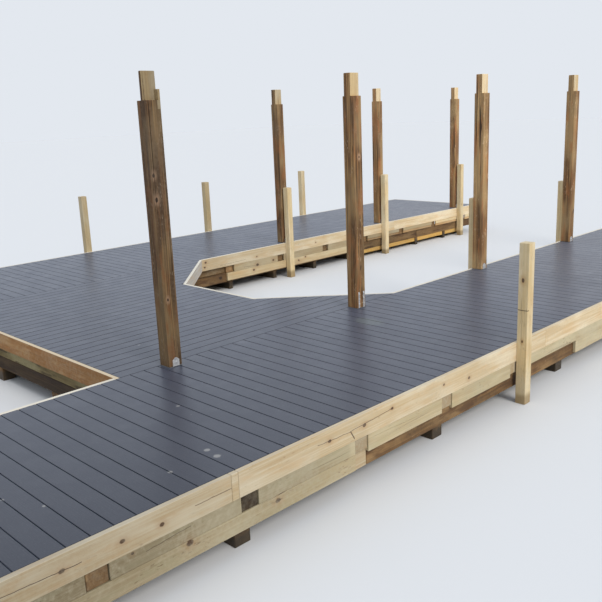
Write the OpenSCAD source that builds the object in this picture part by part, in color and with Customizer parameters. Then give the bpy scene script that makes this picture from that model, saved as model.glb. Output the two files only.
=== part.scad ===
// Wooden jetty: two fingers joined by a bridge, with a boat berth between them.
// Sizes in millimetres. X runs along the fingers towards the open water, Y across them, Z up.
// The origin is on the ground plane at the middle of the whole structure.

/* [Plan] */
// Width of the near finger's decking
near_width = 2123; // [1500:1:3000]
// Clear width between the fingers' decking edges
slip_width = 3845; // [3200:1:5500]
// Width of the far finger's decking
far_width = 2245; // [1500:1:3000]
// Length of the fingers on the shore side of the bridge
shore_reach = 2828; // [1500:1:6000]
// Width of the bridge, measured along the fingers
bridge_width = 2625; // [2000:1:4000]
// Length of the berth from the bridge to the fingers' ends
slip_length = 9047; // [8900:1:11000]
// Size of the cut-off corners at the head of the berth
corner_cut = 1220; // [600:1:1500]

/* [Levels] */
// Height of the walking surface above the lowest point
deck_height = 600; // [560:1:900]
// Thickness of the deck boards
deck_thickness = 25; // [20:1:40]
// Height of the rim board, whose top is flush with the deck
rim_height = 184; // [140:1:200]
// Thickness of the rim board
rim_thickness = 38; // [25:1:50]
// Height of the cross beams
beam_height = 115; // [90:1:140]
// Height of the long crib timbers
crib_height = 150; // [120:1:160]
// Width of the beams and crib timbers
timber_width = 140; // [110:1:150]

/* [Lower boards] */
// Height of the wide boards under the rim
lower_height = 241; // [200:1:260]
// Thickness of the boards under the rim
lower_thickness = 32; // [20:1:38]
// Height of the narrow strip that takes over from the wide board
strip_height = 141; // [120:1:160]
// Height of the lower strips, on the near side beyond the second post and on the berth's far side
short_strip_height = 106; // [80:1:140]
// Width of the notch round a beam's end
notch_width = 150; // [146:1:170]
// How far a beam's end stands out of the crib
beam_stand_out = 24; // [5:1:30]
// How far the one drawn-back beam starts behind the crib's face
beam_set_back = 30; // [5:1:60]

/* [Framing] */
// Thickness of the joists
joist_thickness = 38; // [30:1:50]
// Number of joists under a finger
joist_count = 6; // [4:1:9]
// Number of joists under the bridge
bridge_joist_count = 7; // [5:1:9]
// Spacing of the near finger's beams
near_beam_pitch = 1110; // [1090:1:1130]
// First near beam, measured from the shore end
near_beam_first = 205; // [180:1:230]
// Spacing of the far finger's beams
far_beam_pitch = 1130; // [1125:1:1140]
// First far beam, measured from the shore end
far_beam_first = 490; // [475:1:505]
// Width of the ties under the near finger
near_tie_width = 140; // [100:1:160]
// Width of the ties under the far finger
far_tie_width = 80; // [70:1:140]
// Distance of the last far tie from the lake end
far_tie_last = 460; // [400:1:520]
// Distance from the last far tie to the one before it
far_tie_step = 700; // [600:1:800]
// Spacing of the other far ties
far_tie_pitch = 1000; // [900:1:1100]
// Height of the pale rail between the far finger's ties
low_rail_height = 80; // [50:1:120]

/* [Tall posts] */
// Side of the square tall posts
post_side = 140; // [120:1:150]
// Height of the beam seat above the deck
seat_height = 2328; // [1800:1:2800]
// Height of the tongue above the beam seat
tongue_height = 237; // [140:1:260]
// Depth of the beam seat on the side that faces the lower Y
front_cut = 30; // [20:1:60]
// Depth of the same seat on the first post
deep_cut = 52; // [45:1:62]
// Cut on the far side of that first post, leaving a thin tongue
deep_back_cut = 58; // [40:1:62]
// Depth of the seat on the other side of the tongue
back_cut = 20; // [15:1:35]
// Height of the lug left standing on the first post's seat
lug_height = 88; // [50:1:120]
// Thickness of the lug left standing on the first post's seat
lug_length = 20; // [15:1:60]
// Lake end to the last near tall post
near_post_last = 867; // [800:1:950]
// First near tall post, measured from the bridge's shore edge
near_post_first = 497; // [400:1:560]
// Lake end to the last far tall post
far_post_last = 674; // [600:1:760]
// First far tall post, measured from the head of the berth
far_post_first = 3117; // [3000:1:3200]

/* [Mooring posts] */
// Side of the square mooring posts
mooring_side = 102; // [80:1:120]
// Height of the mooring posts above the deck
mooring_height = 950; // [600:1:1200]
// First outer mooring post of the near finger, from the head of the berth
near_mooring_first = 368; // [300:1:420]
// Distance of a berth-side mooring post from the near tall post beside it
near_mooring_shift = 97; // [60:1:150]
// First outer mooring post of the far finger, from the head of the berth
far_mooring_first = 613; // [500:1:700]
// Lake end to the last outer mooring post of the far finger
far_mooring_last = 520; // [450:1:600]

/* [Post feet] */
// Thickness of the plate under a tall post
foot_plate = 6; // [4:1:10]
// Thickness of the upright ears
ear_thickness = 4; // [3:1:6]
// Width of the upright ears
ear_width = 84; // [60:1:100]
// Height of the ears' square part
ear_shoulder = 60; // [50:1:120]
// Height of the ears' point above the square part
ear_point = 20; // [10:1:40]
// How far the ears sit off the post's middle
ear_shift = 12; // [0:1:20]
// Width of the two straps that hold the second post
strap_width = 24; // [16:1:30]
// Height of the two straps that hold the second post
strap_height = 190; // [150:1:230]

/* [Hidden] */
$fn = 24;
// Plan lines: x from the shore end, y from the near finger's outer edge
total_length = shore_reach + bridge_width + slip_length;
total_width = near_width + slip_width + far_width;
x_shore = -total_length / 2;
x_bridge = x_shore + shore_reach;
x_head = x_bridge + bridge_width;
x_lake = total_length / 2;
y_near = -total_width / 2;
y_slip = y_near + near_width;
y_far = y_slip + slip_width;
y_out = total_width / 2;
// Levels
deck_under = deck_height - deck_thickness;
rim_under = deck_height - rim_height;
joist_height = deck_under - rim_under;
beam_under = rim_under - beam_height;
crib_under = beam_under - crib_height;
post_foot = deck_height + foot_plate;
seat_level = deck_height + seat_height;
post_top = seat_level + tongue_height;
// Mitre of the rim boards at the 135 degree corners
mitre = rim_thickness * (sqrt(2) - 1);
// Where the wide boards change to the strip and back, tied to the beams
near_change = near_beam_x(3);
far_change = far_beam_x(9) - 210;
near_return = near_beam_x(6) + 165;
far_start = far_beam_x(6) - notch_width / 2;
near_post_count = 5;
// As many beams as the fingers' length holds
near_beam_count = floor((total_length - near_beam_first - timber_width / 2) / near_beam_pitch) + 1;
far_beam_count = floor((total_length - far_beam_first - timber_width / 2) / far_beam_pitch) + 1;
// Far ties, counted from the lake end; the first ones are flush with the berth side
far_tie_count = floor((total_length - far_tie_last - far_tie_step - far_tie_width) / far_tie_pitch) + 2;
low_rail_count = 4;

function near_beam_x(i) = x_shore + near_beam_first + i * near_beam_pitch;
function far_beam_x(i) = x_shore + far_beam_first + i * far_beam_pitch;
// Posts stand evenly between the first one and the last one
near_post_pitch = (bridge_width + slip_length - near_post_first - near_post_last) / 4;
far_post_pitch = (slip_length - far_post_first - far_post_last) / 2;
far_mooring_pitch = (slip_length - far_mooring_first - far_mooring_last) / 3;

function near_post_x(i) = x_bridge + near_post_first + i * near_post_pitch;
function far_post_x(i) = x_head + far_post_first + i * far_post_pitch;
function near_mooring_x(i) = x_head + near_mooring_first + i * near_post_pitch;
function far_mooring_x(i) = x_head + far_mooring_first + i * far_mooring_pitch;
function far_tie_x(i) = x_lake - far_tie_last - (i > 0 ? far_tie_step + (i - 1) * far_tie_pitch : 0);

// A box between two corners
module block(x0, x1, y0, y1, z0, z1) {
    translate([x0, y0, z0])
        cube([x1 - x0, y1 - y0, z1 - z0]);
}

// A flat outline given a bottom and a top level
module slab(points, z0, z1) {
    translate([0, 0, z0])
        linear_extrude(z1 - z0)
            polygon(points);
}

// Decking, flush with the rim boards
module near_deck() {
    color("dimgray")
        block(x_shore, x_lake, y_near, y_slip, deck_under, deck_height);
}

module far_deck() {
    color("dimgray")
        block(x_shore, x_lake, y_far, y_out, deck_under, deck_height);
}

module bridge_deck() {
    color("dimgray")
        block(x_bridge, x_head, y_slip, y_far, deck_under, deck_height);
}

module corner_decks() {
    color("dimgray") {
        slab([[x_head, y_slip], [x_head + corner_cut, y_slip], [x_head, y_slip + corner_cut]],
            deck_under, deck_height);
        slab([[x_head, y_far], [x_head, y_far - corner_cut], [x_head + corner_cut, y_far]],
            deck_under, deck_height);
    }
}

// Rim boards round every edge
module near_outer_rim() {
    color("wheat")
        block(x_shore, x_lake, y_near - rim_thickness, y_near, rim_under, deck_height);
}

module far_outer_rim() {
    color("wheat")
        block(x_shore, x_lake, y_out, y_out + rim_thickness, rim_under, deck_height);
}

module near_slip_rim() {
    color("wheat")
        slab([[x_head + corner_cut, y_slip], [x_lake, y_slip], [x_lake, y_slip + rim_thickness],
            [x_head + corner_cut + mitre, y_slip + rim_thickness]], rim_under, deck_height);
}

module far_slip_rim() {
    color("wheat")
        slab([[x_head + corner_cut, y_far], [x_head + corner_cut + mitre, y_far - rim_thickness],
            [x_lake, y_far - rim_thickness], [x_lake, y_far]], rim_under, deck_height);
}

module head_rim() {
    color("wheat")
        slab([[x_head, y_slip + corner_cut], [x_head + rim_thickness, y_slip + corner_cut + mitre],
            [x_head + rim_thickness, y_far - corner_cut - mitre], [x_head, y_far - corner_cut]],
            rim_under, deck_height);
}

module corner_rims() {
    color("wheat") {
        slab([[x_head + corner_cut, y_slip], [x_head + corner_cut + mitre, y_slip + rim_thickness],
            [x_head + rim_thickness, y_slip + corner_cut + mitre], [x_head, y_slip + corner_cut]],
            rim_under, deck_height);
        slab([[x_head + corner_cut, y_far], [x_head, y_far - corner_cut],
            [x_head + rim_thickness, y_far - corner_cut - mitre],
            [x_head + corner_cut + mitre, y_far - rim_thickness]], rim_under, deck_height);
    }
}

module bridge_shore_rim() {
    color("peru")
        block(x_bridge - rim_thickness, x_bridge, y_slip, y_far, rim_under, deck_height);
}

module shore_gap_rims() {
    color("wheat") {
        block(x_shore, x_bridge - rim_thickness, y_slip, y_slip + rim_thickness, rim_under, deck_height);
        block(x_shore, x_bridge - rim_thickness, y_far - rim_thickness, y_far, rim_under, deck_height);
    }
}

module end_rims() {
    color("wheat") {
        for (x = [x_shore - rim_thickness, x_lake]) {
            block(x, x + rim_thickness, y_near - rim_thickness, y_slip + rim_thickness, rim_under, deck_height);
            block(x, x + rim_thickness, y_far - rim_thickness, y_out + rim_thickness, rim_under, deck_height);
        }
    }
}

// One wide lower board with an open notch in its top over each beam's end
module notched_board(x0, x1, y0, beams) {
    difference() {
        block(x0, x1, y0, y0 + lower_thickness, rim_under - lower_height, rim_under);
        for (x = beams)
            block(x - notch_width / 2, x + notch_width / 2, y0 - 1, y0 + lower_thickness + 1,
                rim_under - beam_height, rim_under + 1);
    }
}

module near_lower_boards() {
    color("burlywood") {
        notched_board(x_shore, near_change - notch_width / 2, y_near - lower_thickness,
            [near_beam_x(0), near_beam_x(1), near_beam_x(2)]);
        notched_board(near_return, x_lake, y_near - lower_thickness,
            [for (i = [7 : near_beam_count - 1]) near_beam_x(i)]);
    }
}

// Narrow strips under the rim boards where there is no wide board, from beam to beam
module rim_strips() {
    y0 = y_near - lower_thickness;
    y1 = y_far - lower_thickness;
    half = notch_width / 2;
    color("burlywood") {
        for (i = [3 : 4])
            block(near_beam_x(i) + half, near_beam_x(i + 1) - half, y0, y_near, rim_under - strip_height, rim_under);
        block(near_beam_x(5) + half, near_return, y0, y_near, rim_under - short_strip_height, rim_under);
        block(far_change, far_beam_x(9) - half, y1, y_far, rim_under - short_strip_height, rim_under);
        for (i = [9 : far_beam_count - 1])
            block(far_beam_x(i) + half, i < far_beam_count - 1 ? far_beam_x(i + 1) - half : x_lake,
                y1, y_far, rim_under - short_strip_height, rim_under);
    }
}

module far_slip_lower_board() {
    color("burlywood")
        notched_board(far_start, far_change, y_far - lower_thickness,
            [far_beam_x(6), far_beam_x(7), far_beam_x(8)]);
}

module far_outer_lower_boards() {
    color("burlywood")
        notched_board(x_shore, x_lake, y_out, [for (i = [0 : far_beam_count - 1]) far_beam_x(i)]);
}

module near_slip_lower_boards() {
    color("burlywood")
        notched_board(x_head + corner_cut, x_lake, y_slip,
            [for (i = [7 : near_beam_count - 1]) near_beam_x(i)]);
}

// Joists under the deck boards
module finger_joists(y0, y1) {
    step = (y1 - y0 - joist_thickness) / (joist_count - 1);
    for (i = [0 : joist_count - 1])
        block(x_shore, x_lake, y0 + i * step, y0 + i * step + joist_thickness, rim_under, deck_under);
}

module near_joists() {
    color("tan")
        finger_joists(y_near, y_slip);
}

module far_joists() {
    color("tan")
        finger_joists(y_far, y_out);
}

module bridge_joists() {
    step = (bridge_width - joist_thickness) / (bridge_joist_count - 1);
    color("tan")
        for (i = [0 : bridge_joist_count - 1])
            block(x_bridge + i * step, x_bridge + i * step + joist_thickness, y_slip, y_far,
                rim_under, deck_under);
}

module corner_joists() {
    color("tan")
        for (i = [1 : 2]) {
            a = i * corner_cut / 3;
            b = a + joist_thickness;
            slab([[x_head + a, y_slip], [x_head + b, y_slip], [x_head + b, y_slip + corner_cut - b],
                [x_head + a, y_slip + corner_cut - a]], rim_under, deck_under);
            slab([[x_head + a, y_far], [x_head + a, y_far - corner_cut + a],
                [x_head + b, y_far - corner_cut + b], [x_head + b, y_far]], rim_under, deck_under);
        }
}

// Cross beams, resting on the crib timbers
module near_beams() {
    color("saddlebrown")
        for (i = [0 : near_beam_count - 1]) {
            y0 = i == 2 ? y_near + beam_set_back : i == 6 ? y_near : y_near - beam_stand_out;
            block(near_beam_x(i) - timber_width / 2, near_beam_x(i) + timber_width / 2, y0, y_slip,
                beam_under, rim_under);
        }
}

module far_beams() {
    color("saddlebrown")
        for (i = [0 : far_beam_count - 1])
            block(far_beam_x(i) - timber_width / 2, far_beam_x(i) + timber_width / 2, y_far,
                y_out + beam_stand_out, beam_under, rim_under);
}

module bridge_beams() {
    color("darkseagreen")
        for (x = [x_bridge, x_bridge + (bridge_width - timber_width) / 2, x_head - timber_width])
            block(x, x + timber_width, y_slip - timber_width, y_far + timber_width, beam_under, rim_under);
}

// Long crib timbers
module crib_pair(y0, y1) {
    block(x_shore, x_lake, y0, y0 + timber_width, crib_under, beam_under);
    block(x_shore, x_lake, y1 - timber_width, y1, crib_under, beam_under);
}

module near_crib_timbers() {
    color("sienna")
        crib_pair(y_near, y_slip);
}

module far_crib_timbers() {
    color("sienna")
        crib_pair(y_far, y_out);
}

module bridge_crib_timbers() {
    color("sienna")
        for (x = [x_bridge, x_head - timber_width])
            block(x, x + timber_width, y_slip, y_far, crib_under, beam_under);
}

// Ties and legs that reach the lowest point
module near_ties() {
    color("saddlebrown")
        for (i = [0 : 2 : near_beam_count - 1])
            block(near_beam_x(i) - near_tie_width / 2, near_beam_x(i) + near_tie_width / 2,
                y_near + timber_width / 2, y_slip - timber_width / 2, 0, crib_under);
}

module far_ties() {
    color("saddlebrown")
        for (i = [0 : far_tie_count - 1]) {
            y0 = i < low_rail_count ? y_far : y_far + timber_width / 2;
            block(far_tie_x(i) - far_tie_width / 2, far_tie_x(i) + far_tie_width / 2, y0,
                y_out - timber_width / 2, 0, crib_under);
        }
}

module bridge_legs() {
    color("saddlebrown")
        for (x = [x_bridge, x_head - timber_width], t = [1, 2])
            block(x, x + timber_width, y_slip + t * slip_width / 3 - timber_width / 2,
                y_slip + t * slip_width / 3 + timber_width / 2, 0, crib_under);
}

module far_low_rails() {
    color("khaki")
        for (i = [0 : low_rail_count - 1])
            block(far_tie_x(i + 1) + far_tie_width / 2, far_tie_x(i) - far_tie_width / 2,
                y_far + timber_width / 10, y_far + timber_width * 0.7,
                crib_under - low_rail_height, crib_under);
}

// A tall post whose head is cut down to a tongue between beam seats
module tall_post(x, y, front, back, lug) {
    h = post_side / 2;
    color("saddlebrown")
        translate([x, y, 0]) {
            difference() {
                block(-h, h, -h, h, post_foot, post_top);
                translate([0, -h - 1, seat_level])
                    block(-h - 1, h + 1, 0, front + 1, 0, tongue_height + 1);
                translate([0, h - back, seat_level])
                    block(-h - 1, h + 1, 0, back + 1, 0, tongue_height + 1);
            }
            if (lug)
                block(h - lug_length, h, -h, h - back, seat_level - 1, seat_level + lug_height);
        }
}

module near_post_1() {
    tall_post(near_post_x(0), y_slip - post_side / 2, deep_cut, deep_back_cut, true);
}

module near_post_2() {
    tall_post(near_post_x(1), y_slip - post_side / 2, front_cut, back_cut, false);
}

module near_post_3() {
    tall_post(near_post_x(2), y_slip - post_side / 2, front_cut, back_cut, false);
}

module near_post_4() {
    tall_post(near_post_x(3), y_slip - post_side / 2, front_cut, back_cut, false);
}

module near_post_5() {
    tall_post(near_post_x(4), y_slip - post_side / 2, front_cut, back_cut, false);
}

module far_post_1() {
    tall_post(far_post_x(0), y_far + post_side / 2, front_cut, back_cut, false);
}

module far_post_2() {
    tall_post(far_post_x(1), y_far + post_side / 2, front_cut, back_cut, false);
}

module far_post_3() {
    tall_post(far_post_x(2), y_far + post_side / 2, front_cut, back_cut, false);
}

// Mooring posts fixed outside the rim boards
module mooring_post(x, y0) {
    block(x - mooring_side / 2, x + mooring_side / 2, y0, y0 + mooring_side, 0, deck_height + mooring_height);
}

module near_outer_mooring_posts() {
    color("palegoldenrod")
        for (i = [0 : 3])
            mooring_post(near_mooring_x(i), y_near - rim_thickness - mooring_side);
}

module near_slip_mooring_posts() {
    color("palegoldenrod")
        for (i = [2 : 4])
            mooring_post(near_post_x(i) + near_mooring_shift, y_slip + rim_thickness);
}

module far_slip_mooring_posts() {
    color("palegoldenrod")
        for (i = [0 : 2])
            mooring_post(far_post_x(i), y_far - rim_thickness - mooring_side);
}

module far_outer_mooring_posts() {
    color("palegoldenrod")
        for (i = [0 : 3])
            mooring_post(far_mooring_x(i), y_out + rim_thickness);
}

// Metal feet: a plate under each tall post with an ear on two faces
module foot(x, y, straps) {
    h = post_side / 2;
    w = ear_width / 2;
    top = post_foot + ear_shoulder;
    translate([x, y, 0]) {
        block(-h, h, -h - ear_thickness, h + ear_thickness, deck_height, post_foot);
        for (y0 = [-h - ear_thickness, h])
            if (straps)
                for (s = [-0.5, 0.64])
                    block(s * h - strap_width / 2, s * h + strap_width / 2, y0, y0 + ear_thickness,
                        deck_height, deck_height + strap_height);
            else
                translate([ear_shift, y0 + ear_thickness, 0])
                    rotate([90, 0, 0])
                        linear_extrude(ear_thickness)
                            polygon([[-w, deck_height], [w, deck_height], [w, top], [w / 3, top + ear_point],
                                [-w / 3, top + ear_point], [-w, top]]);
    }
}

module post_feet() {
    color("silver") {
        for (i = [0 : near_post_count - 1])
            foot(near_post_x(i), y_slip - post_side / 2, i == 1);
        for (i = [0 : 2])
            foot(far_post_x(i), y_far + post_side / 2, false);
    }
}

near_deck();
far_deck();
bridge_deck();
corner_decks();
near_outer_rim();
far_outer_rim();
near_slip_rim();
far_slip_rim();
head_rim();
corner_rims();
bridge_shore_rim();
shore_gap_rims();
end_rims();
near_lower_boards();
rim_strips();
far_slip_lower_board();
far_outer_lower_boards();
near_slip_lower_boards();
near_joists();
far_joists();
bridge_joists();
corner_joists();
near_beams();
far_beams();
bridge_beams();
near_crib_timbers();
far_crib_timbers();
bridge_crib_timbers();
near_ties();
far_ties();
bridge_legs();
far_low_rails();
near_post_1();
near_post_2();
near_post_3();
near_post_4();
near_post_5();
far_post_1();
far_post_2();
far_post_3();
near_outer_mooring_posts();
near_slip_mooring_posts();
far_slip_mooring_posts();
far_outer_mooring_posts();
post_feet();
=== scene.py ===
import math

import bmesh
import bpy
import numpy as np
from mathutils import Matrix, Vector


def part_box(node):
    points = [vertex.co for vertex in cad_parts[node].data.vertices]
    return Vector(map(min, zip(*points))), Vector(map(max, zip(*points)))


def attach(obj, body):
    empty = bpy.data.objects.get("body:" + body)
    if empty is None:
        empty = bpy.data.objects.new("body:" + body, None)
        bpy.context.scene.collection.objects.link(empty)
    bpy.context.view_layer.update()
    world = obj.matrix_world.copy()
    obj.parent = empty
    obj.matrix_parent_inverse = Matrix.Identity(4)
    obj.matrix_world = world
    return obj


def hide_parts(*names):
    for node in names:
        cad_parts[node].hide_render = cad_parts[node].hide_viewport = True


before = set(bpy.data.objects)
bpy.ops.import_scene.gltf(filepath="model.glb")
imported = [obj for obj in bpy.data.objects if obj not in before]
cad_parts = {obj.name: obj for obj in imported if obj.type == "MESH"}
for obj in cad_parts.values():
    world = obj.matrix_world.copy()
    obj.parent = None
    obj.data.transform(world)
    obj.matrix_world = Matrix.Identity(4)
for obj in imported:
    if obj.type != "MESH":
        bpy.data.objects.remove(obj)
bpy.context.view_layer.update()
rng = np.random.default_rng(11)

# plan of the jetty in metres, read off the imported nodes
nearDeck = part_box("near_deck")
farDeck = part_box("far_deck")
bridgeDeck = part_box("bridge_deck")
xShore, xLake = nearDeck[0][0], nearDeck[1][0]
yNear, ySlip = nearDeck[0][1], nearDeck[1][1]
yFar, yOut = farDeck[0][1], farDeck[1][1]
xBridge, xHead = bridgeDeck[0][0], bridgeDeck[1][0]
deckTop = nearDeck[1][2]
deckUnder = nearDeck[0][2]
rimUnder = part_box("near_outer_rim")[0][2]
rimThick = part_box("head_rim")[1][0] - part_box("head_rim")[0][0]
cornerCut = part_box("corner_decks")[1][0] - xHead
print("frame loaded, deck at", round(deckTop, 3))


# Swept timber

# Puts vertices, quads and end polygons of one size into a mesh, with values for the shaders at each vertex.
# Faces are flat, as a smooth one would shade a sawn face from arris to arris.
def meshObject(name, verts, quads, caps, values, materials, faceMaterial=None):
    mesh = bpy.data.meshes.new(name)
    mesh.vertices.add(len(verts))
    mesh.vertices.foreach_set("co", np.ascontiguousarray(verts, dtype=np.float32).ravel())
    flat = np.concatenate([quads.ravel(), caps.ravel()]).astype(np.int32)
    sizes = np.repeat([4, caps.shape[1]], [len(quads), len(caps)]).astype(np.int32)
    mesh.loops.add(len(flat))
    mesh.loops.foreach_set("vertex_index", flat)
    mesh.polygons.add(len(sizes))
    mesh.polygons.foreach_set("loop_start", np.concatenate([[0], np.cumsum(sizes)[:-1]]).astype(np.int32))
    mesh.polygons.foreach_set("loop_total", sizes)
    mesh.polygons.foreach_set("use_smooth", np.zeros(len(sizes), dtype=bool))
    if faceMaterial is not None:
        mesh.polygons.foreach_set("material_index", faceMaterial.astype(np.int32))
    for key, data in values.items():
        data = np.asarray(data, dtype=np.float32)
        layer = mesh.attributes.new(key, "FLOAT" if data.ndim == 1 else "FLOAT_VECTOR", "POINT")
        layer.data.foreach_set("value" if data.ndim == 1 else "vector", data.ravel())
    for material in materials:
        mesh.materials.append(material)
    mesh.update()
    mesh.validate()
    obj = bpy.data.objects.new(name, mesh)
    bpy.context.scene.collection.objects.link(obj)
    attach(obj, "root")
    return obj


# Quads and end caps of many tubes: tube t, station s, point p is vertex (t * stations + s) * points + p.
def tubeFaces(tubes, stations, points):
    t = np.arange(tubes)[:, None, None] * stations * points
    s = np.arange(stations - 1)[None, :, None] * points
    p = np.arange(points)[None, None, :]
    a, b = t + s + p, t + s + (p + 1) % points
    quads = np.stack([a, b, b + points, a + points], -1).reshape(-1, 4)
    first = np.arange(tubes)[:, None] * stations * points
    ring = np.arange(points)[None, :]
    caps = np.concatenate([first + ring[:, ::-1], first + (stations - 1) * points + ring])
    return quads, caps


# One crack on one side of each bar: at every station its place across the side as a share, half its width and
# its depth. It opens as a half sine between its two ends and drifts along the grain.
def crackRun(stations, index, cracks, crackWide, crackDeep, crackLong, crackShare):
    length = stations[:, -1:]
    closedHalf = 0.0003

    def draw(low, high):
        return rng.uniform(low, high, (len(stations), 1))

    wide = crackWide * draw(0.3, 1.0) * (draw(0, 1) < crackShare)
    reach = crackLong * draw(0.4, 1.6)
    begin = draw(-0.2, 1.0) * length
    gape = np.sin(math.pi * np.clip((stations - begin) / reach, 0, 1)) ** 0.6
    gape[:, :2] = 0
    gape[:, -2:] = 0
    drift = draw(-0.25, 0.25) * (stations / length) + 0.05 * np.sin(stations * draw(2, 5) + draw(0, 6))
    place = (index + 0.5 + draw(-0.2, 0.2) + np.clip(drift, -0.28, 0.28)) / cracks
    deep = crackDeep * draw(0.5, 1.0) * gape * (wide > 0)
    return place, closedHalf + wide * gape / 2, deep


# Timber bars swept along a line. At each station the section is the rectangle u0..u1 by v0..v1 with rounded
# arrises. Going round it, a corner is a quarter circle, and each side holds its cracks: a lip, a bottom pushed
# in by the depth, and a lip. u is across (up x along), v is up. A mitre moves an end along by slope * u. Tone
# is a value for each bar, or a function of X and Z. Pith is how far off the middle the rings may centre.
def bars(name, origin, along, up, stations, bounds, materials, radius=0.003, cracks=0, crackWide=0.002,
         crackDeep=0.006, crackLong=0.5, crackShare=0.6, mitre=(0.0, 0.0), tone=None, faceMaterial=None,
         pith=0.1):
    arcPoints, margin, grainReach = 3, 0.002, 20
    origin = np.atleast_2d(origin).astype(float)
    n, count = stations.shape
    along = np.broadcast_to(np.asarray(along, float), (n, 3))
    up = np.broadcast_to(np.asarray(up, float), (n, 3))
    across = np.cross(up, along)
    length = stations[:, -1:]
    u0, u1, v0, v1 = (bounds[..., i] for i in range(4))
    corners = [(u1, v1, -1, -1), (u0, v1, 1, -1), (u0, v0, 1, 1), (u1, v0, -1, 1)]
    # direction of each side, then inwards
    steps = [(-1, 0, 0, -1), (0, -1, 1, 0), (1, 0, 0, 1), (0, 1, -1, 0)]
    us, vs, depths = [], [], []
    for side in range(4):
        cu, cv, su, sv = corners[side]
        for angle in np.linspace(0, math.pi / 2, arcPoints) + side * math.pi / 2:
            us.append(cu + su * radius + radius * math.cos(angle))
            vs.append(cv + sv * radius + radius * math.sin(angle))
            depths.append(np.zeros_like(u0))
        du, dv, iu, iv = steps[side]
        eu, ev = corners[(side + 1) % 4][:2]
        span = np.abs(eu - cu) + np.abs(ev - cv) - 2 * radius
        startU, startV = us[-1], vs[-1]
        for j in range(cracks):
            place, half, deep = crackRun(stations, j, cracks, crackWide, crackDeep, crackLong, crackShare)
            for shift, push in ((-1, 0), (0, 1), (1, 0)):
                t = np.clip(place * span, margin, span - margin) + shift * half
                us.append(startU + du * t + iu * push * deep)
                vs.append(startV + dv * t + iv * push * deep)
                depths.append(push * np.clip(deep / crackDeep, 0, 1))
    u, v, depth = (np.stack(part, -1) for part in (us, vs, depths))
    part = (stations / length)[:, :, None]
    slopes = np.broadcast_to(np.asarray(mitre, float), (n, 2))[:, :, None, None]
    dist = stations[:, :, None] + slopes[:, 0] * u * (1 - part) + slopes[:, 1] * u * part
    verts = (origin[:, None, None, :] + dist[..., None] * along[:, None, None, :]
             + u[..., None] * across[:, None, None, :] + v[..., None] * up[:, None, None, :])
    grain = np.stack([dist + rng.uniform(-grainReach, grainReach, (n, 1, 1)),
                      u + rng.uniform(-pith, pith, (n, 1, 1)),
                      v + rng.uniform(0.3 * pith, pith, (n, 1, 1))], -1)
    if callable(tone):
        toneAll = tone(verts[..., 0], verts[..., 2]) + rng.uniform(-0.04, 0.04, (n, 1, 1))
    else:
        tone = rng.uniform(0, 1, n) if tone is None else np.broadcast_to(np.asarray(tone, float), n)
        toneAll = np.broadcast_to(tone[:, None, None], dist.shape)
    quads, caps = tubeFaces(n, count, u.shape[-1])
    verts = verts.reshape(-1, 3)
    chosen = None
    if faceMaterial is not None:
        quadPoints = verts[quads]
        normal = np.cross(quadPoints[:, 2] - quadPoints[:, 0], quadPoints[:, 3] - quadPoints[:, 1])
        capNormal = np.repeat([[0, 0, -1.0], [0, 0, 1.0]], n, 0)
        chosen = np.concatenate([faceMaterial(quadPoints.mean(1), normal),
                                 faceMaterial(verts[caps].mean(1), capNormal)])
    values = {"grain": grain.reshape(-1, 3), "tone": toneAll.reshape(-1), "crack": depth.reshape(-1)}
    return meshObject(name, verts, quads, caps, values, materials, chosen)


# Stations and bounds of plain bars: both ends drawn in by the edge radius, equal steps between. Waver thins
# the section by up to that much, at random.
def plain(lengths, width, height, radius, step, waver=0.0, offset=0.0):
    lengths = np.atleast_1d(lengths).astype(float)
    n = len(lengths)
    inner = max(2, int(math.ceil(lengths.max() / step)) + 1)
    f = np.linspace(0, 1, inner)[None, :]
    body = radius + f * (lengths[:, None] - 2 * radius)
    stations = np.concatenate([np.zeros((n, 1)), body, lengths[:, None]], 1)
    inset = np.zeros(inner + 2)
    inset[[0, -1]] = radius
    width = np.broadcast_to(width, n)[:, None]
    height = np.broadcast_to(height, n)[:, None]
    wave = waver * rng.uniform(-1, 1, (n, inner + 2, 4)) if waver else 0.0
    bounds = np.stack([-width / 2 + inset + offset, width / 2 - inset + offset,
                       -height / 2 + inset, height / 2 - inset], -1)
    return stations, bounds - np.abs(wave) * np.array([-1, 1, -1, 1])


# The separate boxes of a CAD node: corners that share a triangle get the same lowest label, again and again.
def solidBoxes(nodeName):
    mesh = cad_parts[nodeName].data
    co = np.empty(len(mesh.vertices) * 3, dtype=np.float32)
    mesh.vertices.foreach_get("co", co)
    tris = np.empty(len(mesh.loops), dtype=np.int32)
    mesh.loops.foreach_get("vertex_index", tris)
    tris = tris.reshape(-1, 3)
    spots, ids = np.unique(np.round(co.reshape(-1, 3), 4), axis=0, return_inverse=True)
    tris = ids.reshape(-1)[tris]
    labels = np.arange(len(spots))
    while True:
        lowest = labels[tris].min(1)
        fresh = labels.copy()
        np.minimum.at(fresh, tris.ravel(), np.repeat(lowest, 3))
        if (fresh == labels).all():
            break
        labels = fresh
    return np.array([[spots[labels == k].min(0), spots[labels == k].max(0)] for k in np.unique(labels)])


# Cuts boxes across their length at the given places, leaving an open joint.
def cutBoxes(boxes, places, gap=0.0012):
    out = []
    for low, high in boxes:
        edges = [low[0]] + [p for p in sorted(places) if low[0] < p < high[0]] + [high[0]]
        for k in range(len(edges) - 1):
            a, b = low.copy(), high.copy()
            a[0] = edges[k] + (gap / 2 if k else 0)
            b[0] = edges[k + 1] - (gap / 2 if k < len(edges) - 2 else 0)
            out.append([a, b])
    return np.array(out)


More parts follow.
